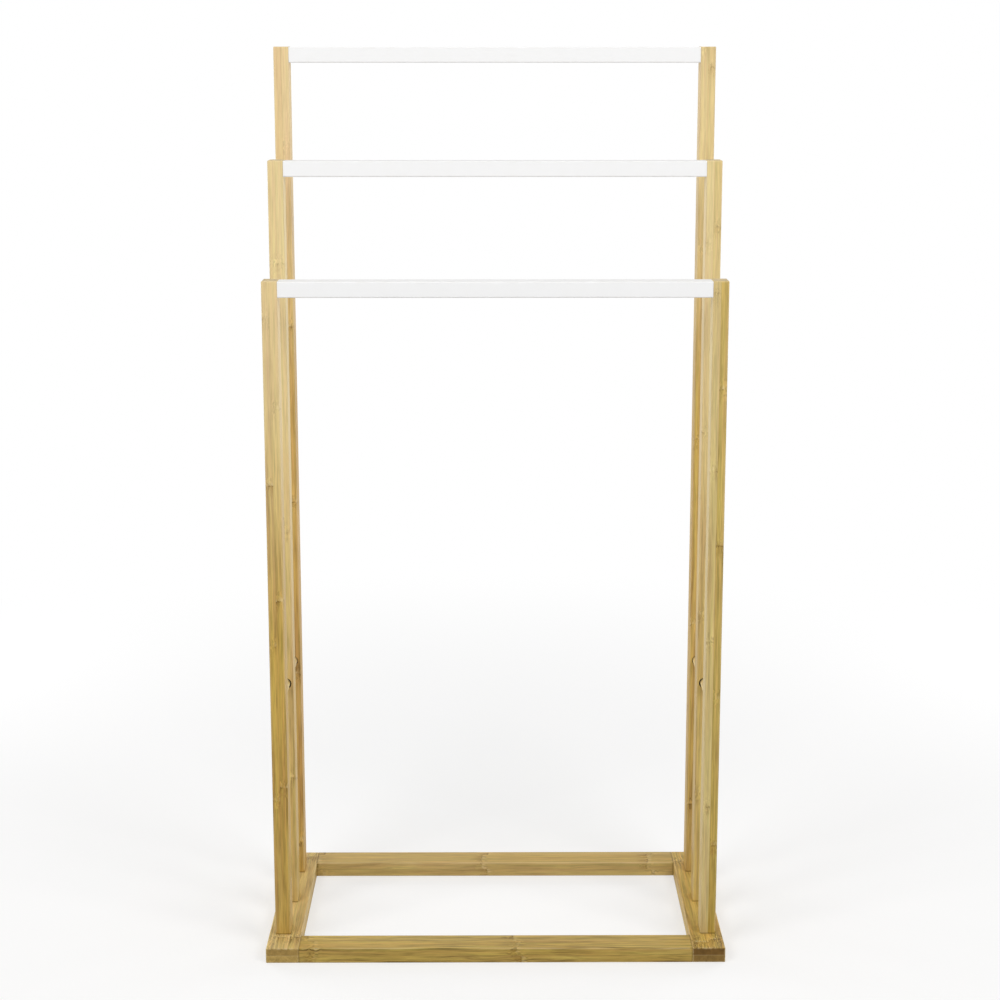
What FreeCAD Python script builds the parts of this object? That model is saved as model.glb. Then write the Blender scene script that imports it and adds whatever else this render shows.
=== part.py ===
import FreeCAD, Part
import math
import os

# A free-standing towel rack. Four flat bamboo rails make the base frame. Three pairs of bamboo posts
# stand on its side rails and rise in steps from front to back. A white bar joins the tops of each pair,
# and a round bamboo stretcher runs along each side, through the middle post.
# Lengths are in millimetres. X runs from left to right, Y from front to back and Z upwards.
# The origin is on the floor, under the middle of the base.

# Overall sizes
base_width = 420.0
base_depth = 240.0
front_height = 620.0
middle_height = 720.0
rear_height = 820.0

# Base rails
rail_width = 30.0
rail_thickness = 14.0

# Posts, inset from the long side and from the front and back of the base
post_width = 14.0
post_depth = 22.0
post_side_inset = 6.0
post_end_inset = 32.5

# White bars, a little below the post tops
bar_height = 14.0
bar_depth = 22.0
bar_drop = 0.5

# Side stretchers, snug in the front and rear posts and loose in the middle post, in holes with an eased rim
stretcher_diameter = 7.5
stretcher_height = 233.0
stretcher_socket_depth = 14.0
stretcher_snug_clearance = 0.3
stretcher_loose_clearance = 0.9
stretcher_rim = 0.4
stretcher_end_chamfer = 0.8

# Rounding of the long edges, and the share of it that eases the sawn ends
bamboo_edge_radius = 0.8
bar_edge_radius = 1.0
end_easing_share = 0.7

# Hex-socket screws that draw the bars and the cross rails up to the frame
frame_screw_diameter = 5.0
frame_screw_head = 9.0
frame_screw_key = 3.0
bar_screw_length = 50.0
rail_screw_length = 65.0

# Wood screws up into the feet of the posts
post_screw_diameter = 4.0
post_screw_head = 8.0
post_screw_slot = 1.2
post_screw_length = 45.0

# How every screw sits: countersunk just below the surface, with a free hole in the piece under its head
head_recess = 0.3
screw_clearance = 0.25
drive_depth_share = 0.8
cross_width_share = 0.6
tip_length_share = 0.9

# Fluted wooden pins that keep the joints from turning, with room for glue at the bottom of their holes
pin_diameter = 6.0
pin_flutes = 10
pin_flute_depth = 0.4
bar_pin_length = 18.0
rail_pin_length = 24.0
post_pin_length = 20.0
pin_glue_room = 1.0

# Where a joint's screw and pin lie across the joined piece, from its front face,
# and how much of each pin is in the piece that the screw passes through
screw_place_share = 0.3
pin_place_share = 0.75
even_pin_share = 0.5
foot_pin_share = 0.4

# How far a cut runs past the surface that it opens
overrun = 1.0

# Places that follow from the sizes
half_width = base_width / 2
half_depth = base_depth / 2
rail_inner = half_width - rail_width
rail_row = half_depth - rail_width / 2
rail_middle = half_width - rail_width / 2
post_outer = half_width - post_side_inset
post_middle = post_outer - post_width / 2
post_inner = post_outer - post_width
post_row = half_depth - post_end_inset - post_depth / 2

sides = {"left": -1, "right": 1}
post_rows = {"front": -post_row, "middle": 0, "rear": post_row}
post_heights = {"front": front_height, "middle": middle_height, "rear": rear_height}
rail_rows = {"front": -rail_row, "rear": rail_row}

up = FreeCAD.Vector(0, 0, 1)
back = FreeCAD.Vector(0, 1, 0)


def point(x, y, z):
    return FreeCAD.Vector(x, y, z)


def inward(side):
    return FreeCAD.Vector(-side, 0, 0)


def outward(side):
    return FreeCAD.Vector(side, 0, 0)


def across(row, width, share):
    # a place on a piece of this width that is centred on the row, counted from its front face
    return row + width * (share - 1 / 2)


def set_at(shape, place, direction):
    # a copy of a shape that was made upwards from the origin, started at a place and run along a direction
    moved = shape.copy()
    moved.Placement = FreeCAD.Placement(place, FreeCAD.Rotation(up, direction))
    return moved


def turned(outline):
    # a solid of revolution about Z from (radius, height) points
    wire = Part.makePolygon([point(radius, 0, height) for radius, height in outline + outline[:1]])
    return Part.Face(wire).revolve(point(0, 0, 0), up, 360)


def rounded_section(width, height, radius):
    # a rectangle with round corners in the XY plane, centred on the origin
    edges = []
    corners = [(1, 1), (-1, 1), (-1, -1), (1, -1)]
    arcs = []
    for index, (sign_x, sign_y) in enumerate(corners):
        centre = point(sign_x * (width / 2 - radius), sign_y * (height / 2 - radius), 0)
        angles = [math.radians(90 * index + turn) for turn in (0, 45, 90)]
        arcs.append([centre + point(radius * math.cos(a), radius * math.sin(a), 0) for a in angles])
    for index, arc in enumerate(arcs):
        edges.append(Part.Arc(*arc).toShape())
        edges.append(Part.LineSegment(arc[-1], arcs[(index + 1) % len(arcs)][0]).toShape())
    return Part.Face(Part.Wire(edges))


def sawn_length(width, height, length, radius, eased_ends):
    # a straight length of stock upwards from the origin, rounded along its edges and eased at the given ends
    stock = rounded_section(width, height, radius).extrude(up * length)
    ends = [edge for edge in stock.Edges for end in eased_ends
            if all(abs(vertex.Z - end) < Part.Precision.confusion() for vertex in edge.Vertexes)]
    return stock.makeChamfer(radius * end_easing_share, ends) if ends else stock


class Screw:
    # a countersunk screw upwards from the middle of its head face, without its thread

    def __init__(self, diameter, head, length):
        self.radius = diameter / 2
        self.head_radius = head / 2
        self.cone = self.head_radius - self.radius
        self.length = length

    def solid(self, drive):
        tip = self.radius * 2 * tip_length_share
        body = turned([(0, 0), (self.head_radius, 0), (self.radius, self.cone),
                       (self.radius, self.length - tip), (0, self.length)])
        return body.cut(drive)

    def free_hole(self, thickness):
        # the countersunk hole through the piece under the head, from that piece's surface
        mouth = self.head_radius + head_recess + overrun
        wide = self.radius + screw_clearance
        seat = head_recess + self.cone - screw_clearance
        return turned([(0, -overrun), (mouth, -overrun), (wide, seat), (wide, thickness + overrun),
                       (0, thickness + overrun)])

    def pilot_hole(self, thickness):
        # the hole that the thread bites into, from the face that meets the piece under the head
        return Part.makeCylinder(self.radius, head_recess + self.length - thickness)


def hex_drive(across_flats):
    corner = across_flats / math.sqrt(3)
    corners = [point(corner * math.cos(math.radians(turn)), corner * math.sin(math.radians(turn)), 0)
               for turn in range(0, 361, 60)]
    depth = across_flats * drive_depth_share
    prism = Part.Face(Part.makePolygon(corners)).extrude(up * (depth + overrun))
    return set_at(prism, point(0, 0, -overrun), up)


def cross_drive(head, slot):
    # two crossed slots that narrow to a point, as for a cross-head driver
    reach = head * cross_width_share / 2
    outline = [point(-reach, 0, -overrun), point(reach, 0, -overrun), point(reach, 0, 0),
               point(0, 0, reach), point(-reach, 0, 0), point(-reach, 0, -overrun)]
    blade = Part.Face(Part.makePolygon(outline)).extrude(back * slot)
    first = set_at(blade, point(0, -slot / 2, 0), up)
    second = first.copy()
    second.rotate(point(0, 0, 0), up, 90)
    return first.fuse(second)


def pin(length):
    # a fluted pin whose ridges touch the wall of its hole
    ridge = pin_diameter / 2
    radii = [ridge, ridge - pin_flute_depth] * pin_flutes
    turns = [math.tau * index / len(radii) for index in range(len(radii))]
    corners = [point(radius * math.cos(turn), radius * math.sin(turn), 0)
               for radius, turn in zip(radii, turns)]
    return Part.Face(Part.makePolygon(corners + corners[:1])).extrude(up * length)


def pin_socket(depth):
    return Part.makeCylinder(pin_diameter / 2, depth + pin_glue_room)


bar_screw = Screw(frame_screw_diameter, frame_screw_head, bar_screw_length)
rail_screw = Screw(frame_screw_diameter, frame_screw_head, rail_screw_length)
post_screw = Screw(post_screw_diameter, post_screw_head, post_screw_length)


def bar_level(row):
    return post_heights[row] - bar_drop - bar_height / 2


def stretcher_hole(row):
    # through the middle post, and blind from the inner side of the front and rear posts
    clearance = stretcher_loose_clearance if row == "middle" else stretcher_snug_clearance
    radius = stretcher_diameter / 2 + clearance
    wide = radius + stretcher_rim
    if row == "middle":
        bore = [(0, -overrun), (wide + overrun, -overrun), (radius, stretcher_rim),
                (radius, post_depth - stretcher_rim), (wide + overrun, post_depth + overrun),
                (0, post_depth + overrun)]
    else:
        bore = [(0, -overrun), (wide + overrun, -overrun), (radius, stretcher_rim),
                (radius, stretcher_socket_depth), (0, stretcher_socket_depth)]
    return turned(bore)


def stretcher_cut(side, row):
    face = post_depth / 2 if row == "front" else -post_depth / 2
    direction = -back if row == "front" else back
    place = point(side * post_middle, post_rows[row] + face, stretcher_height)
    return set_at(stretcher_hole(row), place, direction)


def post(side, row):
    length = post_heights[row] - rail_thickness
    stock = sawn_length(post_width, post_depth, length, bamboo_edge_radius, [length])
    upright = set_at(stock, point(side * post_middle, post_rows[row], rail_thickness), up)
    screw_y = across(post_rows[row], post_depth, screw_place_share)
    pin_y = across(post_rows[row], post_depth, pin_place_share)
    level = bar_level(row)
    bar_pin_depth = bar_pin_length * even_pin_share
    foot_pin_depth = post_pin_length * (1 - foot_pin_share)
    cuts = [
        set_at(bar_screw.free_hole(post_width), point(side * post_outer, screw_y, level), inward(side)),
        set_at(pin_socket(bar_pin_depth), point(side * post_inner, pin_y, level), outward(side)),
        set_at(post_screw.pilot_hole(rail_thickness), point(side * post_middle, screw_y, rail_thickness), up),
        set_at(pin_socket(foot_pin_depth), point(side * post_middle, pin_y, rail_thickness), up),
        stretcher_cut(side, row),
    ]
    return upright.cut(cuts)


def towel_bar(row):
    length = post_inner * 2
    stock = sawn_length(bar_height, bar_depth, length, bar_edge_radius, [])
    level = bar_level(row)
    bar = set_at(stock, point(-post_inner, post_rows[row], level), outward(1))
    screw_y = across(post_rows[row], post_depth, screw_place_share)
    pin_y = across(post_rows[row], post_depth, pin_place_share)
    pin_depth = bar_pin_length * (1 - even_pin_share)
    cuts = []
    for side in sides.values():
        end = side * post_inner
        cuts.append(set_at(bar_screw.pilot_hole(post_width), point(end, screw_y, level), inward(side)))
        cuts.append(set_at(pin_socket(pin_depth), point(end, pin_y, level), inward(side)))
    return bar.cut(cuts)


def side_rail(side):
    stock = sawn_length(rail_width, rail_thickness, base_depth, bamboo_edge_radius, [0, base_depth])
    level = rail_thickness / 2
    rail = set_at(stock, point(side * rail_middle, -half_depth, level), back)
    foot_pin_depth = post_pin_length * foot_pin_share
    corner_pin_depth = rail_pin_length * even_pin_share
    cuts = []
    for row in post_rows.values():
        screw_place = point(side * post_middle, across(row, post_depth, screw_place_share), 0)
        pin_place = point(side * post_middle, across(row, post_depth, pin_place_share), rail_thickness)
        cuts.append(set_at(post_screw.free_hole(rail_thickness), screw_place, up))
        cuts.append(set_at(pin_socket(foot_pin_depth), pin_place, -up))
    for row in rail_rows.values():
        screw_place = point(side * half_width, across(row, rail_width, screw_place_share), level)
        pin_place = point(side * rail_inner, across(row, rail_width, pin_place_share), level)
        cuts.append(set_at(rail_screw.free_hole(rail_width), screw_place, inward(side)))
        cuts.append(set_at(pin_socket(corner_pin_depth), pin_place, outward(side)))
    return rail.cut(cuts)


def cross_rail(row):
    length = rail_inner * 2
    stock = sawn_length(rail_thickness, rail_width, length, bamboo_edge_radius, [])
    level = rail_thickness / 2
    rail = set_at(stock, point(-rail_inner, rail_rows[row], level), outward(1))
    screw_y = across(rail_rows[row], rail_width, screw_place_share)
    pin_y = across(rail_rows[row], rail_width, pin_place_share)
    pin_depth = rail_pin_length * (1 - even_pin_share)
    cuts = []
    for side in sides.values():
        end = side * rail_inner
        cuts.append(set_at(rail_screw.pilot_hole(rail_width), point(end, screw_y, level), inward(side)))
        cuts.append(set_at(pin_socket(pin_depth), point(end, pin_y, level), inward(side)))
    return rail.cut(cuts)


def stretcher(side):
    # reaches the bottoms of the holes in the front and rear posts
    start = -post_row + post_depth / 2 - stretcher_socket_depth
    length = -start * 2
    radius = stretcher_diameter / 2
    slim = radius - stretcher_end_chamfer
    rod = turned([(0, 0), (slim, 0), (radius, stretcher_end_chamfer),
                  (radius, length - stretcher_end_chamfer), (slim, length), (0, length)])
    return set_at(rod, point(side * post_middle, start, stretcher_height), back)


def bar_joints(fastener, share, start):
    # one fastener at each end of each bar, starting this far out from the bar's end
    placed = []
    for row, row_y in post_rows.items():
        for side in sides.values():
            place = point(side * (post_inner + start), across(row_y, post_depth, share), bar_level(row))
            placed.append(set_at(fastener, place, inward(side)))
    return Part.makeCompound(placed)


def rail_joints(fastener, share, start):
    # one fastener at each corner of the base, starting this far out from the cross rail's end
    placed = []
    for row_y in rail_rows.values():
        for side in sides.values():
            place = point(side * (rail_inner + start), across(row_y, rail_width, share), rail_thickness / 2)
            placed.append(set_at(fastener, place, inward(side)))
    return Part.makeCompound(placed)


def foot_joints(fastener, share, start):
    # one fastener under each post, starting this far below the post's foot
    placed = []
    for row_y in post_rows.values():
        for side in sides.values():
            place = point(side * post_middle, across(row_y, post_depth, share), rail_thickness - start)
            placed.append(set_at(fastener, place, up))
    return Part.makeCompound(placed)


def all_parts():
    parts = {}
    for name, side in sides.items():
        parts[name + "_side_rail"] = side_rail(side)
        parts[name + "_stretcher"] = stretcher(side)
        for row in post_rows:
            parts[name + "_" + row + "_post"] = post(side, row)
    for row in rail_rows:
        parts[row + "_rail"] = cross_rail(row)
    for row in post_rows:
        parts[row + "_towel_bar"] = towel_bar(row)

    hex_key = hex_drive(frame_screw_key)
    cross_key = cross_drive(post_screw_head, post_screw_slot)
    under_post_head = post_width - head_recess
    under_side_rail_head = rail_width - head_recess
    under_foot_head = rail_thickness - head_recess
    parts["bar_screws"] = bar_joints(bar_screw.solid(hex_key), screw_place_share, under_post_head)
    parts["rail_screws"] = rail_joints(rail_screw.solid(hex_key), screw_place_share, under_side_rail_head)
    parts["post_screws"] = foot_joints(post_screw.solid(cross_key), screw_place_share, under_foot_head)
    parts["bar_pins"] = bar_joints(pin(bar_pin_length), pin_place_share, bar_pin_length * even_pin_share)
    parts["rail_pins"] = rail_joints(pin(rail_pin_length), pin_place_share, rail_pin_length * even_pin_share)
    parts["post_pins"] = foot_joints(pin(post_pin_length), pin_place_share, post_pin_length * foot_pin_share)
    return parts


os.makedirs("parts", exist_ok=True)
for name, shape in all_parts().items():
    shape.exportStep("parts/" + name + ".step")
    print(name, len(shape.Solids), "solids", round(shape.Volume), "cubic millimetres")
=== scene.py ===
import math

import bmesh
import bpy
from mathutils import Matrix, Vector


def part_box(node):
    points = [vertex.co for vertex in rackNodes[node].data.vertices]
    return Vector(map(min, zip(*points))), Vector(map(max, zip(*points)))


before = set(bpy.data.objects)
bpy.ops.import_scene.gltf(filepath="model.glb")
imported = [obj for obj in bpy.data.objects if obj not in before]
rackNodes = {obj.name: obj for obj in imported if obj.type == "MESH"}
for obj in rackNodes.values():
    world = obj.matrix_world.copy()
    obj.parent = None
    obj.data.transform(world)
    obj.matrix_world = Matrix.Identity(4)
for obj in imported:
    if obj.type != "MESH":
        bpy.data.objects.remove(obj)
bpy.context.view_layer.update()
print("rack loaded:", len(rackNodes), "pieces")


# camera level with the tops of the tallest posts, looking slightly down on the rack
cameraSetup = {
    "place": (-0.005, -1.945, 0.816),
    "tiltDown": 11.87,        # degrees
    "turnRight": 0.28,
    "lens": 76.9,             # mm
    "sensor": 36.0,
}


def addCamera(setup):
    data = bpy.data.cameras.new("rackCamera")
    data.sensor_width = setup["sensor"]
    data.lens = setup["lens"]
    camera = bpy.data.objects.new("rackCamera", data)
    camera.location = setup["place"]
    tilt = math.radians(90.0 - setup["tiltDown"])
    camera.rotation_euler = (tilt, 0.0, -math.radians(setup["turnRight"]))
    bpy.context.scene.collection.objects.link(camera)
    bpy.context.scene.camera = camera


addCamera(cameraSetup)
print("camera set")


# shader helpers: a socket is linked, a plain value is set
def feed(tree, socket, value):
    if isinstance(value, bpy.types.NodeSocket):
        tree.links.new(value, socket)
    else:
        socket.default_value = value


def calc(tree, operation, *values):
    node = tree.nodes.new("ShaderNodeMath")
    node.operation = operation
    for socket, value in zip(node.inputs, values):
        feed(tree, socket, value)
    return node.outputs[0]


def product(tree, first, *others):
    for other in others:
        first = calc(tree, "MULTIPLY", first, other)
    return first


def swing(tree, value, amount, base):
    # a value round one half, turned into that amount of change either side of the base
    return calc(tree, "MULTIPLY_ADD", calc(tree, "SUBTRACT", value, 0.5), amount, base)


def rescale(tree, value, start, end, low=0.0, high=1.0, curve="SMOOTHSTEP"):
    node = tree.nodes.new("ShaderNodeMapRange")
    node.interpolation_type = curve
    limits = {"From Min": start, "From Max": end, "To Min": low, "To Max": high}
    for name, number in limits.items():
        feed(tree, node.inputs[name], number)
    feed(tree, node.inputs["Value"], value)
    return node.outputs["Result"]


def place(tree, x, y, z):
    node = tree.nodes.new("ShaderNodeCombineXYZ")
    for socket, value in zip(node.inputs, (x, y, z)):
        feed(tree, socket, value)
    return node.outputs["Vector"]


def shifted(tree, vector, offset, amount):
    node = tree.nodes.new("ShaderNodeVectorMath")
    node.operation = "MULTIPLY_ADD"
    feed(tree, node.inputs[0], offset)
    feed(tree, node.inputs[1], (amount, amount, amount))
    feed(tree, node.inputs[2], vector)
    return node.outputs["Vector"]


def blend(tree, amount, first, second):
    node = tree.nodes.new("ShaderNodeMix")
    node.data_type = "RGBA"
    factor, colourA, colourB = (node.inputs[i] for i in (0, 6, 7))    # the colour sockets of the node
    feed(tree, factor, amount)
    feed(tree, colourA, first)
    feed(tree, colourB, second)
    return node.outputs[2]


def tinted(tree, colour, value, hue=0.5):
    node = tree.nodes.new("ShaderNodeHueSaturation")
    feed(tree, node.inputs["Color"], colour)
    feed(tree, node.inputs["Value"], value)
    feed(tree, node.inputs["Hue"], hue)
    return node.outputs["Color"]


# how finely a noise is broken up
softNoise = 1.0
plainNoise = 2.0
fineNoise = 3.0


def noise(tree, vector, scale=1.0, detail=plainNoise, roughness=0.5):
    node = tree.nodes.new("ShaderNodeTexNoise")
    feed(tree, node.inputs["Vector"], vector)
    feed(tree, node.inputs["Scale"], scale)
    feed(tree, node.inputs["Detail"], detail)
    feed(tree, node.inputs["Roughness"], roughness)
    return node.outputs["Fac"]


def dice(tree, vector):
    node = tree.nodes.new("ShaderNodeTexWhiteNoise")
    node.noise_dimensions = "3D"
    feed(tree, node.inputs["Vector"], vector)
    return node.outputs["Value"], node.outputs["Color"]


def split(tree, vector):
    node = tree.nodes.new("ShaderNodeSeparateXYZ")
    feed(tree, node.inputs["Vector"], vector)
    return node.outputs


def bumped(tree, shader, height, depth, strength):
    node = tree.nodes.new("ShaderNodeBump")
    feed(tree, node.inputs["Height"], height)
    feed(tree, node.inputs["Distance"], depth)
    feed(tree, node.inputs["Strength"], strength)
    tree.links.new(node.outputs["Normal"], shader.inputs["Normal"])


def newFinish(name):
    material = bpy.data.materials.new(name)
    material.use_nodes = True
    tree = material.node_tree
    tree.nodes.clear()
    output = tree.nodes.new("ShaderNodeOutputMaterial")
    shader = tree.nodes.new("ShaderNodeBsdfPrincipled")
    tree.links.new(shader.outputs["BSDF"], output.inputs["Surface"])
    return material, tree, shader


def fromCorner(tree, low):
    # coordinates counted from a piece's low corner
    coords = tree.nodes.new("ShaderNodeTexCoord")
    mapping = tree.nodes.new("ShaderNodeMapping")
    mapping.inputs["Location"].default_value = -low
    tree.links.new(coords.outputs["Object"], mapping.inputs["Vector"])
    return split(tree, mapping.outputs["Vector"])


def facing(tree):
    # the way that a piece's surface faces
    coords = tree.nodes.new("ShaderNodeTexCoord")
    return split(tree, coords.outputs["Normal"])


def edgeDistance(tree, axes, size):
    # the second nearest of the piece's six faces: zero along its edges
    gaps = []
    for axis, length in zip(axes, size):
        gaps.append(calc(tree, "MINIMUM", axis, calc(tree, "SUBTRACT", length, axis)))
    nearer = calc(tree, "MINIMUM", gaps[0], gaps[1])
    further = calc(tree, "MAXIMUM", gaps[0], gaps[1])
    return calc(tree, "MAXIMUM", nearer, calc(tree, "MINIMUM", further, gaps[2]))


def dress(node, material):
    for slot in rackNodes[node].material_slots:
        slot.material = material


# bamboo: strips glued side by side into plies, and two plies glued into the stock of posts and rails
bamboo = {
    "straw": (0.74, 0.585, 0.30, 1.0),
    "honey": (0.505, 0.335, 0.080, 1.0),
    "fibreBrown": (0.28, 0.155, 0.03, 1.0),
    "knuckleBrown": (0.13, 0.068, 0.014, 1.0),
    "knucklePale": (0.78, 0.63, 0.34, 1.0),
    "glueBrown": (0.36, 0.22, 0.07, 1.0),
    "sawnStraw": (0.66, 0.53, 0.31, 1.0),
    "sawnHoney": (0.51, 0.35, 0.11, 1.0),
    "poreBrown": (0.155, 0.080, 0.018, 1.0),
    # pale of the edges, rubbed wear with a painted highlight, and of the ply seam on sawn ends
    "paleRimAndSeam": (0.76, 0.62, 0.36, 1.0),
    # colour of the painted shade inside the holes of the stretchers
    "paintedBoreShade": (0.045, 0.024, 0.010, 1.0),
    # colour of the painted contact shade where an end butts against another piece
    "jointShade": (0.10, 0.055, 0.016, 1.0),
    "plyMargin": 0.01,                 # keeps the outer faces of the stock within their plies
    "stripDepth": 0.25,                # how much the tone differs from strip to strip
    "drift": 0.25,                     # metres along a strip over which its tone drifts
    "driftDepth": 0.4,
    "grainBreak": 0.6,
    "contrast": (0.45, 0.75),          # of the grain in straw, and what honey adds to it
    "streakDepth": 0.9,
    "fibreDepth": 1.2,
    "hairDepth": 0.25,
    "tintTurn": 0.058,
    "vessel": (0.56, 0.74),
    "vesselDepth": 0.35,
    "paleKnuckle": 0.4,                # how much of a knuckle shows in straw
    "ripeKnuckle": 0.7,                # the tone at which all of it shows
    "stainDepth": 0.7,
    "tickDepth": 0.6,
    "coreDepth": 0.9,
    "glueLine": 0.0002,
    "stripGlue": 0.6,                  # of the glue line between strips, beside the one between plies
    "glueDepth": 0.45,
    "sawnFacing": (0.6, 0.9),
    "bundle": 0.0008,                  # a cut fibre bundle on a sawn end
    "pore": (0.15, 0.5),
    "poreDepth": 0.35,
    "mottle": 0.005,
    "mottleDepth": 0.8,
    "sawnSeam": 0.5,
    "paleRimReach": (0.0004, 0.0018),      # from an edge, metres
    "paleRimStreak": (0.35, 0.6),
    "jointLine": (0.0004, 0.0015),     # painted shade line, from an end that butts against another piece, metres
    "jointClear": (0.0015, 0.0035),
    "boreReach": (0.0054, 0.0060),     # from the axis of a stretcher, metres
    "boreFacing": (0.75, 0.9),
    "roughness": 0.46,
    "fibreRough": 0.16,
    "sawnRough": 0.15,
    "specular": 0.13,
    "fibreHeight": 0.5,
    "hairHeight": 0.3,
    "stainHeight": 0.5,
    "seamHeight": -0.6,
    "poreHeight": -0.5,
    "bumpDepth": 0.0002,
    "bumpStrength": 0.5,
}

# marks in the grain: width and length in metres, and how finely they are broken up
bambooGrain = {
    "streak": (0.0034, 0.12, fineNoise),
    "tint": (0.0028, 0.12, fineNoise),
    "fibre": (0.0013, 0.036, fineNoise),
    "hair": (0.00045, 0.012, plainNoise),
    "flame": (0.0011, 0.012, plainNoise),
    "wave": (0.012, 0.05, softNoise),
}

# what keeps the chances of one strip, ply or knuckle apart from the next
bambooLuck = {
    "plyDraw": 0.5,
    "plyStep": 31.0,
    "knuckleStep": 0.013,
    "grainShift": 60.0,
    "driftShift": 90.0,
    "patchShift": 0.3,
    "mottleShift": 2.0,
}

# how each kind of piece is cut from the stock
bambooCuts = {
    "post": {
        "along": 2,                    # axes 0, 1, 2 stand for X, Y, Z
        "plies": 0,
        "across": 1,
        "strip": 0.0125,               # width of a strip, metres
        "wave": 0.0015,                # how far its grain wanders, metres
        "reach": 0.014,                # how far a knuckle stains it on one side, metres
        "fade": 0.006,                 # and on the other
        "spread": 0.08,                # how far knuckles move, as a share of their spacing
        "stray": 0.6,                  # and how much further from strip to strip
        "patch": (0.40, 0.62),         # how much of a knuckle is dark
        "tiger": 0.6,                  # how much it heightens the grain
        "paleRim": 0.35,                  # how pale the edges are: rubbed wear, partly a painted highlight
        "sawn": "sawnStraw",
        "joints": (0.6,),              # depth of the painted shade line at each butted end, the low end first
    },
    "sideRail": {"along": 1, "plies": 2, "across": 0, "strip": 0.0155, "wave": 0.003, "reach": 0.024,
                 "fade": 0.0036, "spread": 0.08, "stray": 0.0, "patch": (0.3, 0.5), "tiger": 1.4,
                 "paleRim": 0.35, "sawn": "sawnHoney", "joints": ()},
    "crossRail": {"along": 0, "plies": 2, "across": 1, "strip": 0.021, "wave": 0.0035, "reach": 0.013,
                  "fade": 0.002, "spread": 0.08, "stray": 0.0, "patch": (0.35, 0.55), "tiger": 0.6,
                  "paleRim": 0.35, "sawn": "sawnHoney", "joints": (0.3, 0.3)},
    "rod": {"along": 1, "plies": 2, "across": 0, "strip": 0.02, "wave": 0.001, "reach": 0.006,
            "fade": 0.001, "spread": 1.0, "stray": 0.0, "patch": (0.4, 0.6), "tiger": 0.3,
            "paleRim": 0.0, "sawn": "sawnHoney", "joints": ()},
}

# how each piece differs from the others of its kind
bambooPieces = {
    "left_front_post": {
        "cut": "post",
        "tones": (0.0, 0.0),           # of each ply, straw at 0 and honey at 1
        "ripe": (0.98, 0.05, 0.60),    # added to them between two shares of the length from the top
        "hue": -0.003,                 # greener above 0, redder below
        "shade": 0.99,
        "streaks": 1.0,                # strength of the grain
        "ends": (0.05, 0.05),          # how dark the sawn ends of each ply are
        "seed": 1,
        "knuckles": (0.1335, 0.147),   # the first of each ply, metres from the low end of the piece
        "spacing": (0.1475, 0.174),    # and the way to the next
    },
    "right_front_post": {"cut": "post", "tones": (0.20, 0.72), "ripe": (0.12, 0.10, 0.5), "hue": 0.005,
                         "shade": 0.94, "streaks": 1.0, "ends": (0.05, 0.1), "seed": 2,
                         "knuckles": (0.13, 0.0966), "spacing": (0.1575, 0.141)},
    "left_middle_post": {"cut": "post", "tones": (0.0, 0.05), "ripe": (0.85, 0.10, 0.9), "hue": 0.0,
                         "shade": 1.0, "streaks": 1.0, "ends": (0.0, 0.05), "seed": 3,
                         "knuckles": (0.05, 0.1317), "spacing": (0.19, 0.243)},
    "right_middle_post": {"cut": "post", "tones": (0.0, 0.30), "ripe": (0.86, 0.10, 0.75), "hue": 0.0,
                          "shade": 0.97, "streaks": 1.0, "ends": (0.05, 0.0), "seed": 4,
                          "knuckles": (0.119, 0.06), "spacing": (0.174, 0.2)},
    "left_rear_post": {"cut": "post", "tones": (0.0, 0.05), "ripe": (0.95, 0.08, 0.45), "hue": -0.010,
                       "shade": 1.0, "streaks": 1.0, "ends": (0.0, 0.05), "seed": 5,
                       "knuckles": (0.09, 0.038), "spacing": (0.2, 0.171)},
    "right_rear_post": {"cut": "post", "tones": (0.0, 0.18), "ripe": (0.80, 0.08, 0.45), "hue": -0.004,
                        "shade": 0.97, "streaks": 1.0, "ends": (0.05, 0.05), "seed": 6,
                        "knuckles": (0.073, 0.03), "spacing": (0.184, 0.19)},
    "front_rail": {"cut": "crossRail", "tones": (1.0, 0.92), "ripe": (0.0, 0.0, 1.0), "hue": 0.004,
                   "shade": 0.86, "streaks": 1.2, "ends": (0.2, 0.2), "seed": 7,
                   "knuckles": (0.015, 0.015), "spacing": (0.188, 0.188)},
    "rear_rail": {"cut": "crossRail", "tones": (0.55, 0.72), "ripe": (0.0, 0.0, 1.0), "hue": 0.0,
                  "shade": 0.95, "streaks": 0.85, "ends": (0.2, 0.2), "seed": 13,
                  "knuckles": (0.010, 0.010), "spacing": (0.167, 0.167)},
    "left_side_rail": {"cut": "sideRail", "tones": (0.80, 0.75), "ripe": (0.0, 0.0, 1.0), "hue": 0.0,
                       "shade": 1.0, "streaks": 1.2, "ends": (0.07, 0.40), "seed": 9,
                       "knuckles": (0.028, 0.028), "spacing": (0.2, 0.2)},
    "right_side_rail": {"cut": "sideRail", "tones": (0.85, 0.90), "ripe": (0.0, 0.0, 1.0), "hue": 0.0,
                        "shade": 1.0, "streaks": 1.2, "ends": (0.72, 0.95), "seed": 10,
                        "knuckles": (0.028, 0.028), "spacing": (0.2, 0.2)},
    "left_stretcher": {"cut": "rod", "tones": (0.55,), "ripe": (0.0, 0.0, 1.0), "hue": 0.0,
                       "shade": 1.0, "streaks": 1.0, "ends": (0.2,), "seed": 11,
                       "knuckles": (0.115,), "spacing": (0.23,)},
    "right_stretcher": {"cut": "rod", "tones": (0.40,), "ripe": (0.0, 0.0, 1.0), "hue": 0.0,
                        "shade": 1.0, "streaks": 1.0, "ends": (0.2,), "seed": 12,
                        "knuckles": (0.115,), "spacing": (0.23,)},
}


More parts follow.
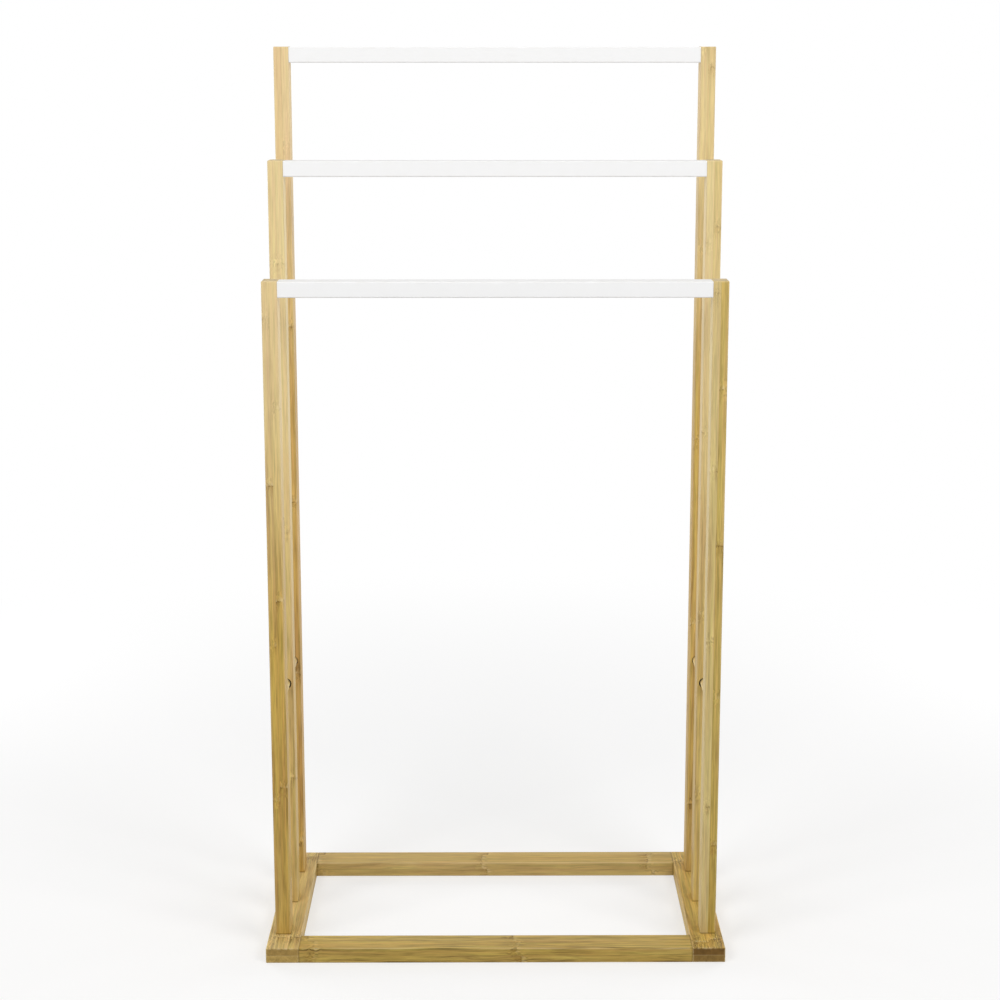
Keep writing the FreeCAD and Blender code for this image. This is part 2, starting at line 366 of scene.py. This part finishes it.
def sawnStock(tree, name, look):
    # where a point lies in the stock: along the cane, which ply, which strip, and the luck of that strip
    cut = bambooCuts[look["cut"]]
    low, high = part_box(name)
    axes = fromCorner(tree, low)
    stock = {"cut": cut, "low": low, "size": high - low, "axes": axes, "normal": facing(tree)}
    stock["along"] = axes[cut["along"]]
    stock["depth"] = axes[cut["plies"]]
    stock["across"] = axes[cut["across"]]
    seed = float(look["seed"])
    thickness = stock["size"][cut["plies"]]
    firstPly = bamboo["plyMargin"]
    lastPly = len(look["tones"]) - bamboo["plyMargin"]
    plyPlace = rescale(tree, stock["depth"], 0.0, thickness, firstPly, lastPly, "LINEAR")
    stock["ply"] = calc(tree, "FLOOR", plyPlace)
    plyLuck = dice(tree, place(tree, stock["ply"], seed, bambooLuck["plyDraw"]))[0]
    stripPlace = calc(tree, "MULTIPLY_ADD", stock["across"], 1.0 / cut["strip"], plyLuck)
    stock["strip"] = calc(tree, "FLOOR", stripPlace)
    stock["offPly"] = calc(tree, "SUBTRACT", calc(tree, "FRACT", plyPlace), 0.5)
    stock["offStrip"] = calc(tree, "SUBTRACT", calc(tree, "FRACT", stripPlace), 0.5)
    stock["stripLuck"], stock["luck"] = dice(tree, place(tree, stock["ply"], stock["strip"], seed))
    return stock


def perPly(tree, stock, values):
    return calc(tree, "MULTIPLY_ADD", stock["ply"], values[-1] - values[0], values[0])


def grain(tree, stock, axes, mark):
    # noise drawn out along the cane into marks
    width, length, detail = bambooGrain[mark]
    scaled = [calc(tree, "DIVIDE", axis, reach) for axis, reach in zip(axes, (width, width, length))]
    spot = shifted(tree, place(tree, *scaled), stock["luck"], bambooLuck["grainShift"])
    return noise(tree, spot, detail=detail, roughness=bamboo["grainBreak"])


# knuckles of the cane: in a range, two levels may follow the two limits
knuckleLook = {
    "bend": 0.014,                     # how far the line bends and frays, metres
    "rag": 0.005,
    "ragScale": 420.0,
    "patch": 0.006,                    # size of its dark stretches, metres
    "core": 0.0013,                    # where its dark core has faded, metres
    "tear": (0.42, 0.56),
    "tearScale": 300.0,
    "strength": (0.1, 0.9, 0.3, 1.0),
    "stain": (0.0, 1.0, 0.5, 1.0),
    "stainFlame": (0.35, 0.6, 0.3, 1.0),
    "tickStart": (0.0, 0.001),         # where the pale flames start and fade, metres
    "tickEnd": (0.0015, 0.006, 1.0, 0.0),
    "tickFlame": (0.5, 0.6),
    "stir": 0.006,                     # how far the grain is stirred beside it, metres
    "stirScale": 160.0,
}


def knuckleGap(tree, stock, look):
    # the knuckle that a point of a strip is nearest to, how far away along the cane, and its luck
    cut = stock["cut"]
    first, spacing = (perPly(tree, stock, look[key]) for key in ("knuckles", "spacing"))
    stray = calc(tree, "MULTIPLY_ADD", stock["strip"], cut["stray"], cut["spread"])
    stripShift = calc(tree, "MULTIPLY_ADD", split(tree, stock["luck"])[1], stray, 0.5)
    fromFirst = calc(tree, "DIVIDE", calc(tree, "SUBTRACT", stock["along"], first), spacing)
    count = calc(tree, "ADD", fromFirst, stripShift)
    number = calc(tree, "FLOOR", count)
    stripNumber = calc(tree, "MULTIPLY_ADD", stock["ply"], bambooLuck["plyStep"], stock["strip"])
    placeLuck, luck = dice(tree, place(tree, stripNumber, number, float(look["seed"])))
    middle = swing(tree, placeLuck, 0.5 * cut["spread"], 0.5)
    gap = product(tree, calc(tree, "SUBTRACT", calc(tree, "FRACT", count), middle), spacing)
    return number, gap, split(tree, luck)


def knuckleMarks(tree, stock, look):
    # a soft stain on one side, a torn dark core and pale flames on the other side
    cut = stock["cut"]
    spot = (stock["depth"], stock["across"], stock["along"])
    number, gap, (bendLuck, markLuck, stainLuck) = knuckleGap(tree, stock, look)

    # the line of a knuckle is bent across the strip, and ragged, and it is dark on part of the strip only
    offMiddle = product(tree, stock["offPly"], stock["offPly"])
    offMiddle = calc(tree, "MULTIPLY_ADD", stock["offStrip"], stock["offStrip"], offMiddle)
    bend = product(tree, swing(tree, bendLuck, knuckleLook["bend"], 0.0), offMiddle)
    line = place(tree, *spot[:2], product(tree, number, bambooLuck["knuckleStep"]))
    rag = noise(tree, line, scale=knuckleLook["ragScale"], detail=fineNoise)
    gap = swing(tree, rag, knuckleLook["rag"], calc(tree, "ADD", gap, bend))
    offLine = calc(tree, "ABSOLUTE", gap)
    patchPlace = shifted(tree, line, stock["luck"], bambooLuck["patchShift"])
    patch = noise(tree, patchPlace, scale=1.0 / knuckleLook["patch"], detail=softNoise)
    dark = rescale(tree, patch, *cut["patch"])

    flames = grain(tree, stock, spot, "flame")
    strength = rescale(tree, markLuck, *knuckleLook["strength"])
    before = rescale(tree, gap, -cut["reach"], 0.0)
    after = rescale(tree, gap, 0.0, cut["fade"], 1.0, 0.0)
    stain = product(tree, before, after, dark, rescale(tree, stainLuck, *knuckleLook["stain"]),
                    rescale(tree, flames, *knuckleLook["stainFlame"]))
    torn = noise(tree, place(tree, *spot), scale=knuckleLook["tearScale"], detail=fineNoise)
    core = product(tree, rescale(tree, offLine, 0.0, knuckleLook["core"], 1.0, 0.0), strength, dark,
                   rescale(tree, torn, *knuckleLook["tear"]))
    tick = product(tree, rescale(tree, gap, *knuckleLook["tickStart"]), strength,
                   rescale(tree, flames, *knuckleLook["tickFlame"]),
                   rescale(tree, gap, *knuckleLook["tickEnd"]))
    near = rescale(tree, offLine, 0.0, cut["reach"], 1.0, 0.0)
    wave = noise(tree, place(tree, *spot), scale=knuckleLook["stirScale"], detail=softNoise)
    stir = product(tree, swing(tree, wave, knuckleLook["stir"], 0.0), near)
    return {"stain": stain, "core": core, "tick": tick, "near": near, "stir": stir}


def stripGrain(tree, stock, knuckle):
    # grain along the strip, a little wavy and stirred more at the knuckles
    axes = [stock["depth"], stock["across"], stock["along"]]
    waves = swing(tree, grain(tree, stock, axes, "wave"), stock["cut"]["wave"], knuckle["stir"])
    axes[:2] = [calc(tree, "ADD", axis, waves) for axis in axes[:2]]
    return {mark: grain(tree, stock, axes, mark) for mark in ("streak", "tint", "fibre", "hair")}


def stripTone(tree, stock, look):
    # by ply and height, by the luck of the strip, and drifting along it
    riper, ripeFrom, ripeTo = look["ripe"]
    length = stock["size"][stock["cut"]["along"]]
    fromTop = rescale(tree, stock["along"], 0.0, length, 1.0, 0.0, "LINEAR")
    ripe = rescale(tree, fromTop, ripeFrom, ripeTo, 0.0, riper)
    tone = calc(tree, "ADD", perPly(tree, stock, look["tones"]), ripe)
    tone = swing(tree, stock["stripLuck"], bamboo["stripDepth"], tone)
    driftPlace = place(tree, 0.0, 0.0, calc(tree, "DIVIDE", stock["along"], bamboo["drift"]))
    driftPlace = shifted(tree, driftPlace, stock["luck"], bambooLuck["driftShift"])
    drift = noise(tree, driftPlace, detail=softNoise)
    return swing(tree, drift, bamboo["driftDepth"], tone)


def caneColour(tree, stock, look, marks, knuckle):
    tone = stripTone(tree, stock, look)
    colour = blend(tree, tone, bamboo["straw"], bamboo["honey"])

    # light and dark of the grain, stronger in riper cane and at the knuckles
    pale, ripe = bamboo["contrast"]
    tiger = calc(tree, "MULTIPLY_ADD", knuckle["near"], stock["cut"]["tiger"], 1.0)
    contrast = product(tree, calc(tree, "MULTIPLY_ADD", tone, ripe, pale), look["streaks"], tiger)
    fibres = swing(tree, marks["fibre"], bamboo["fibreDepth"], 0.0)
    hairs = swing(tree, marks["hair"], bamboo["hairDepth"], look["shade"])
    level = swing(tree, marks["streak"], bamboo["streakDepth"], fibres)
    level = calc(tree, "MULTIPLY_ADD", level, contrast, hairs)
    hue = swing(tree, marks["tint"], bamboo["tintTurn"], 0.5 + look["hue"])
    colour = tinted(tree, colour, level, hue)
    vessels = rescale(tree, marks["fibre"], *bamboo["vessel"])
    vessels = product(tree, vessels, contrast, bamboo["vesselDepth"])
    colour = blend(tree, vessels, colour, bamboo["fibreBrown"])

    # knuckles, fainter in straw
    ripeness = rescale(tree, tone, 0.0, bamboo["ripeKnuckle"], bamboo["paleKnuckle"], 1.0)
    stain = product(tree, knuckle["stain"], ripeness, bamboo["stainDepth"])
    tick = product(tree, knuckle["tick"], bamboo["tickDepth"])
    core = product(tree, knuckle["core"], ripeness, bamboo["coreDepth"])
    colour = blend(tree, stain, colour, bamboo["fibreBrown"])
    colour = blend(tree, tick, colour, bamboo["knucklePale"])
    return blend(tree, core, colour, bamboo["knuckleBrown"])


def glueSeams(tree, stock, look):
    # thin glue lines: those between plies by themselves, and together with those between strips
    cut = stock["cut"]
    plyMiddle = 0.5 * stock["size"][cut["plies"]]
    plyGap = calc(tree, "ABSOLUTE", calc(tree, "SUBTRACT", stock["depth"], plyMiddle))
    plySeam = rescale(tree, plyGap, 0.0, bamboo["glueLine"], len(look["tones"]) - 1.0, 0.0)
    stripEdge = 0.5 - bamboo["glueLine"] / cut["strip"]
    offStrip = calc(tree, "ABSOLUTE", stock["offStrip"])
    stripSeam = rescale(tree, offStrip, stripEdge, 0.5, 0.0, bamboo["stripGlue"])
    return plySeam, calc(tree, "MAXIMUM", plySeam, stripSeam)


def sawnEnds(tree, stock, look, plySeam):
    # sawn ends show the cut fibre bundles, in cloudy patches
    cut = stock["cut"]
    spot = place(tree, stock["depth"], stock["across"], 0.0)
    bundles = tree.nodes.new("ShaderNodeTexVoronoi")
    feed(tree, bundles.inputs["Vector"], spot)
    feed(tree, bundles.inputs["Scale"], 1.0 / bamboo["bundle"])
    pores = rescale(tree, bundles.outputs["Distance"], *bamboo["pore"], 1.0, 0.0)
    mottlePlace = shifted(tree, spot, stock["luck"], bambooLuck["mottleShift"])
    mottle = noise(tree, mottlePlace, scale=1.0 / bamboo["mottle"])
    colour = blend(tree, perPly(tree, stock, look["ends"]), bamboo[cut["sawn"]], bamboo["poreBrown"])
    colour = tinted(tree, colour, swing(tree, mottle, bamboo["mottleDepth"], 1.0))
    colour = blend(tree, product(tree, pores, bamboo["poreDepth"]), colour, bamboo["poreBrown"])
    colour = blend(tree, product(tree, plySeam, bamboo["sawnSeam"]), colour, bamboo["paleRimAndSeam"])
    endOn = calc(tree, "ABSOLUTE", stock["normal"][cut["along"]])
    return rescale(tree, endOn, *bamboo["sawnFacing"]), pores, colour


def paleRimsAndJointShade(tree, stock, streaks, colour):
    # edges rubbed a little paler, partly a painted highlight, and a painted shade line where an end butts
    # against another piece
    cut, size = stock["cut"], stock["size"]
    edgeMask = rescale(tree, edgeDistance(tree, stock["axes"], size), *bamboo["paleRimReach"], cut["paleRim"], 0.0)
    fromHigh = calc(tree, "SUBTRACT", size[cut["along"]], stock["along"])
    for reach, depth in zip((stock["along"], fromHigh), cut["joints"]):
        # painted contact shade along each butted end
        line = rescale(tree, reach, *bamboo["jointLine"], depth, 0.0)
        colour = blend(tree, line, colour, bamboo["jointShade"])
        edgeMask = product(tree, edgeMask, rescale(tree, reach, *bamboo["jointClear"]))
    edgeMask = product(tree, edgeMask, rescale(tree, streaks, *bamboo["paleRimStreak"]))
    # edges made paler: rubbed wear and a painted highlight on the rounded edges
    return blend(tree, edgeMask, colour, bamboo["paleRimAndSeam"])


def boreWallShade(tree, stock, rod):
    # painted shade on the wall of the hole that a stretcher sits in: near the axis, and not facing along
    # it
    low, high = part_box(rod)
    middle = 0.5 * (low + high) - stock["low"]
    offX, offZ = (calc(tree, "SUBTRACT", stock["axes"][i], middle[i]) for i in (0, 2))
    offAxis = calc(tree, "SQRT", calc(tree, "MULTIPLY_ADD", offX, offX, product(tree, offZ, offZ)))
    inside = rescale(tree, offAxis, *bamboo["boreReach"], 1.0, 0.0)
    endOn = calc(tree, "ABSOLUTE", stock["normal"][1])
    return product(tree, inside, rescale(tree, endOn, *bamboo["boreFacing"], 1.0, 0.0))


def bambooFinish(name, look):
    material, tree, shader = newFinish("bamboo_" + name)
    stock = sawnStock(tree, name, look)
    knuckle = knuckleMarks(tree, stock, look)
    marks = stripGrain(tree, stock, knuckle)
    plySeam, seam = glueSeams(tree, stock, look)
    sawn, pores, sawnColour = sawnEnds(tree, stock, look, plySeam)

    colour = caneColour(tree, stock, look, marks, knuckle)
    colour = blend(tree, product(tree, seam, bamboo["glueDepth"]), colour, bamboo["glueBrown"])
    colour = blend(tree, sawn, colour, sawnColour)
    colour = paleRimsAndJointShade(tree, stock, marks["streak"], colour)
    # painted shade in the holes of the stretchers, standing in for the shade deep in the gap
    if look["cut"] == "post":
        boreShade = boreWallShade(tree, stock, name.split("_")[0] + "_stretcher")
        colour = blend(tree, boreShade, colour, bamboo["paintedBoreShade"])
    feed(tree, shader.inputs["Base Color"], colour)

    rough = swing(tree, marks["fibre"], bamboo["fibreRough"], bamboo["roughness"])
    rough = calc(tree, "MULTIPLY_ADD", sawn, bamboo["sawnRough"], rough)
    feed(tree, shader.inputs["Roughness"], rough)
    feed(tree, shader.inputs["Specular IOR Level"], bamboo["specular"])
    height = product(tree, marks["hair"], bamboo["hairHeight"])
    height = calc(tree, "MULTIPLY_ADD", marks["fibre"], bamboo["fibreHeight"], height)
    height = calc(tree, "MULTIPLY_ADD", knuckle["stain"], bamboo["stainHeight"], height)
    grooves = calc(tree, "MAXIMUM", knuckle["core"], seam)
    height = calc(tree, "MULTIPLY_ADD", grooves, bamboo["seamHeight"], height)
    height = calc(tree, "MULTIPLY_ADD", product(tree, pores, sawn), bamboo["poreHeight"], height)
    bumped(tree, shader, height, bamboo["bumpDepth"], bamboo["bumpStrength"])
    return material


for name, look in bambooPieces.items():
    dress(name, bambooFinish(name, look))
print("bamboo dressed:", len(bambooPieces), "pieces")


# white lacquer on the bars: brushed on thin, a touch duller at the edges
whiteLacquer = {
    "paint": (0.87, 0.87, 0.87, 1.0),
    "thin": (0.84, 0.835, 0.82, 1.0),
    "mottleScale": 90.0,
    "thinEdge": (0.0003, 0.0022),      # from an edge, metres
    "edgeMottle": (0.3, 0.7, 0.2, 0.9),
    "faceMottle": (0.35, 0.75),
    "faceThin": 0.16,
    "strokeStretch": 0.12,             # brush strokes run along the bar
    "strokeScale": 900.0,
    "peelScale": 700.0,
    "roughness": 0.56,
    "strokeRough": 0.14,
    "specular": 0.08,
    "strokeHeight": 0.5,
    "peelHeight": 0.5,
    "bumpDepth": 0.00008,
    "bumpStrength": 0.4,
}


def lacquerFinish(name):
    low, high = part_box(name)
    material, tree, shader = newFinish("lacquer_" + name)
    axes = fromCorner(tree, low)
    spot = place(tree, *axes)
    stretched = place(tree, product(tree, axes[0], whiteLacquer["strokeStretch"]), axes[1], axes[2])
    mottle = noise(tree, spot, scale=whiteLacquer["mottleScale"], detail=fineNoise)
    strokes = noise(tree, stretched, scale=whiteLacquer["strokeScale"], detail=fineNoise)
    peel = noise(tree, spot, scale=whiteLacquer["peelScale"], detail=softNoise)
    edgeMask = rescale(tree, edgeDistance(tree, axes, high - low), *whiteLacquer["thinEdge"], 1.0, 0.0)
    thin = product(tree, edgeMask, rescale(tree, mottle, *whiteLacquer["edgeMottle"]))
    faces = rescale(tree, mottle, *whiteLacquer["faceMottle"])
    thin = calc(tree, "MULTIPLY_ADD", faces, whiteLacquer["faceThin"], thin)
    feed(tree, shader.inputs["Base Color"], blend(tree, thin, whiteLacquer["paint"], whiteLacquer["thin"]))
    rough = swing(tree, strokes, whiteLacquer["strokeRough"], whiteLacquer["roughness"])
    feed(tree, shader.inputs["Roughness"], rough)
    feed(tree, shader.inputs["Specular IOR Level"], whiteLacquer["specular"])
    height = product(tree, peel, whiteLacquer["peelHeight"])
    height = calc(tree, "MULTIPLY_ADD", strokes, whiteLacquer["strokeHeight"], height)
    bumped(tree, shader, height, whiteLacquer["bumpDepth"], whiteLacquer["bumpStrength"])
    return material


for name in ("front_towel_bar", "middle_towel_bar", "rear_towel_bar"):
    dress(name, lacquerFinish(name))
print("white bars dressed")


# zinc plated screws: finely marked, with faint cloudy patches in the plating and painted shade in the key
# hole and below the face of the head
zincSteel = {
    "bright": (0.56, 0.57, 0.58, 1.0),
    "dull": (0.40, 0.40, 0.39, 1.0),
    # colour of the painted shade in the key hole and below the face of the head
    "dark": (0.06, 0.06, 0.06, 1.0),
    "cloudScale": 350.0,
    "cloud": (0.35, 0.7),
    "markScale": 4200.0,
    "markBreak": 0.7,
    "markDepth": 0.3,
    "faceDepth": (0.0002, 0.0008),     # metres below the face of the head, where the painted shade comes in
    "roughness": 0.32,
    "markRough": 0.25,
    "bumpDepth": 0.00003,
    "bumpStrength": 0.4,
}


def zincFinish(name, along):
    low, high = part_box(name)
    material, tree, shader = newFinish("zinc_" + name)
    axes = fromCorner(tree, low)
    spot = place(tree, *axes)
    clouds = noise(tree, spot, scale=zincSteel["cloudScale"], detail=fineNoise)
    marks = noise(tree, spot, zincSteel["markScale"], fineNoise, zincSteel["markBreak"])
    cloudy = rescale(tree, clouds, *zincSteel["cloud"])
    colour = blend(tree, cloudy, zincSteel["bright"], zincSteel["dull"])
    colour = tinted(tree, colour, swing(tree, marks, zincSteel["markDepth"], 1.0))
    fromEnd = calc(tree, "SUBTRACT", (high - low)[along], axes[along])
    sunkShade = rescale(tree, calc(tree, "MINIMUM", axes[along], fromEnd), *zincSteel["faceDepth"])
    # painted shade in the key hole and down the screw
    feed(tree, shader.inputs["Base Color"], blend(tree, sunkShade, colour, zincSteel["dark"]))
    feed(tree, shader.inputs["Metallic"], 1.0)
    rough = swing(tree, marks, zincSteel["markRough"], zincSteel["roughness"])
    feed(tree, shader.inputs["Roughness"], rough)
    bumped(tree, shader, marks, zincSteel["bumpDepth"], zincSteel["bumpStrength"])
    return material


for name, along in (("bar_screws", 0), ("rail_screws", 0), ("post_screws", 2)):
    dress(name, zincFinish(name, along))
print("screws dressed")


# bare beech pins inside the joints
beech = {
    "pale": (0.66, 0.48, 0.30, 1.0),
    "flecked": (0.45, 0.28, 0.15, 1.0),
    "fleckScale": 1400.0,
    "fleckStretch": 0.1,               # flecks run along the pin
    "fleck": (0.45, 0.7),
    "roughness": 0.6,
    "fleckRough": 0.2,
    "bumpDepth": 0.00006,
    "bumpStrength": 0.5,
}


def beechFinish(name, along):
    material, tree, shader = newFinish("beech_" + name)
    coords = tree.nodes.new("ShaderNodeTexCoord")
    stretch = [1.0, 1.0, 1.0]
    stretch[along] = beech["fleckStretch"]
    mapping = tree.nodes.new("ShaderNodeMapping")
    mapping.inputs["Scale"].default_value = stretch
    tree.links.new(coords.outputs["Object"], mapping.inputs["Vector"])
    flecks = noise(tree, mapping.outputs["Vector"], scale=beech["fleckScale"], detail=fineNoise)
    colour = blend(tree, rescale(tree, flecks, *beech["fleck"]), beech["pale"], beech["flecked"])
    feed(tree, shader.inputs["Base Color"], colour)
    rough = swing(tree, flecks, beech["fleckRough"], beech["roughness"])
    feed(tree, shader.inputs["Roughness"], rough)
    bumped(tree, shader, flecks, beech["bumpDepth"], beech["bumpStrength"])
    return material


for name, along in (("bar_pins", 0), ("rail_pins", 0), ("post_pins", 2)):
    dress(name, beechFinish(name, along))
print("pins dressed")


# pale floor, fading to white away from the rack
studioFloor = {
    "halfWidth": 8.0,
    "paint": (0.97, 0.97, 0.97, 1.0),
    "bounce": (0.65, 0.65, 0.65, 1.0),      # what the rack gets back from the floor
    "lift": 0.5,                            # share of plain white in the floor by the rack
    "fadeFrom": 0.45,
    "fadeTo": 1.4,
}


def seenRay(tree):
    path = tree.nodes.new("ShaderNodeLightPath")
    seen = calc(tree, "MAXIMUM", path.outputs["Is Camera Ray"], path.outputs["Is Glossy Ray"])
    return calc(tree, "MAXIMUM", seen, path.outputs["Is Transmission Ray"])


def addFloor(look):
    mesh = bpy.data.meshes.new("studioFloor")
    sheet = bmesh.new()
    bmesh.ops.create_grid(sheet, x_segments=1, y_segments=1, size=look["halfWidth"])
    sheet.to_mesh(mesh)
    sheet.free()
    floor = bpy.data.objects.new("studioFloor", mesh)
    bpy.context.scene.collection.objects.link(floor)
    material = bpy.data.materials.new("studioFloor")
    material.use_nodes = True
    tree = material.node_tree
    tree.nodes.clear()
    seen = seenRay(tree)
    coords = tree.nodes.new("ShaderNodeTexCoord")
    reach = tree.nodes.new("ShaderNodeVectorMath")
    reach.operation = "LENGTH"
    tree.links.new(coords.outputs["Object"], reach.inputs[0])
    lift = rescale(tree, reach.outputs["Value"], look["fadeFrom"], look["fadeTo"], look["lift"], 1.0)
    paint = tree.nodes.new("ShaderNodeBsdfDiffuse")
    feed(tree, paint.inputs["Color"], blend(tree, seen, look["bounce"], look["paint"]))
    glow = tree.nodes.new("ShaderNodeEmission")
    mix = tree.nodes.new("ShaderNodeMixShader")
    feed(tree, mix.inputs[0], product(tree, seen, lift))
    tree.links.new(paint.outputs["BSDF"], mix.inputs[1])
    tree.links.new(glow.outputs["Emission"], mix.inputs[2])
    output = tree.nodes.new("ShaderNodeOutputMaterial")
    tree.links.new(mix.outputs["Shader"], output.inputs["Surface"])
    mesh.materials.append(material)


addFloor(studioFloor)


# soft light from two boxes in front, two weaker ones low behind and a faint one overhead
studioLight = {
    "white": (1.0, 1.0, 1.0, 1.0),
    "ambient": 0.38,          # of the room that lights the rack
    "backdrop": 1.0,          # of the room that is seen
    "aim": (0.0, 0.0, 0.55),
    "leftSoftbox": {"place": (-0.85, -1.05, 1.38), "side": 0.8, "watts": 11.0},
    "rightSoftbox": {"place": (0.85, -1.05, 1.38), "side": 0.8, "watts": 11.0},
    "backLeftSoftbox": {"place": (-1.2, 1.1, 0.38), "side": 0.8, "watts": 10.0},
    "backRightSoftbox": {"place": (1.2, 1.1, 0.38), "side": 0.8, "watts": 10.0},
    "topSoftbox": {"place": (0.0, 0.35, 1.65), "side": 0.8, "watts": 1.4},
}


def addSoftbox(name, setup, aim):
    data = bpy.data.lights.new(name, "AREA")
    data.shape = "SQUARE"
    data.size = setup["side"]
    data.energy = setup["watts"]
    lamp = bpy.data.objects.new(name, data)
    lamp.location = setup["place"]
    heading = Vector(aim) - Vector(setup["place"])
    lamp.rotation_euler = heading.to_track_quat("-Z", "Y").to_euler()
    lamp.visible_camera = False
    bpy.context.scene.collection.objects.link(lamp)


def addWorld(look):
    world = bpy.data.worlds.new("studioWorld")
    bpy.context.scene.world = world
    world.use_nodes = True
    tree = world.node_tree
    tree.nodes.clear()
    room = tree.nodes.new("ShaderNodeBackground")
    feed(tree, room.inputs["Strength"], look["ambient"])
    backdrop = tree.nodes.new("ShaderNodeBackground")
    feed(tree, backdrop.inputs["Strength"], look["backdrop"])
    for shader in (room, backdrop):
        feed(tree, shader.inputs["Color"], look["white"])
    mix = tree.nodes.new("ShaderNodeMixShader")
    feed(tree, mix.inputs[0], seenRay(tree))
    tree.links.new(room.outputs["Background"], mix.inputs[1])
    tree.links.new(backdrop.outputs["Background"], mix.inputs[2])
    output = tree.nodes.new("ShaderNodeOutputWorld")
    tree.links.new(mix.outputs["Shader"], output.inputs["Surface"])


for name in ("leftSoftbox", "rightSoftbox", "backLeftSoftbox", "backRightSoftbox", "topSoftbox"):
    addSoftbox(name, studioLight[name], studioLight["aim"])
addWorld(studioLight)
bpy.context.scene.view_settings.view_transform = "Standard"
print("floor and light set")
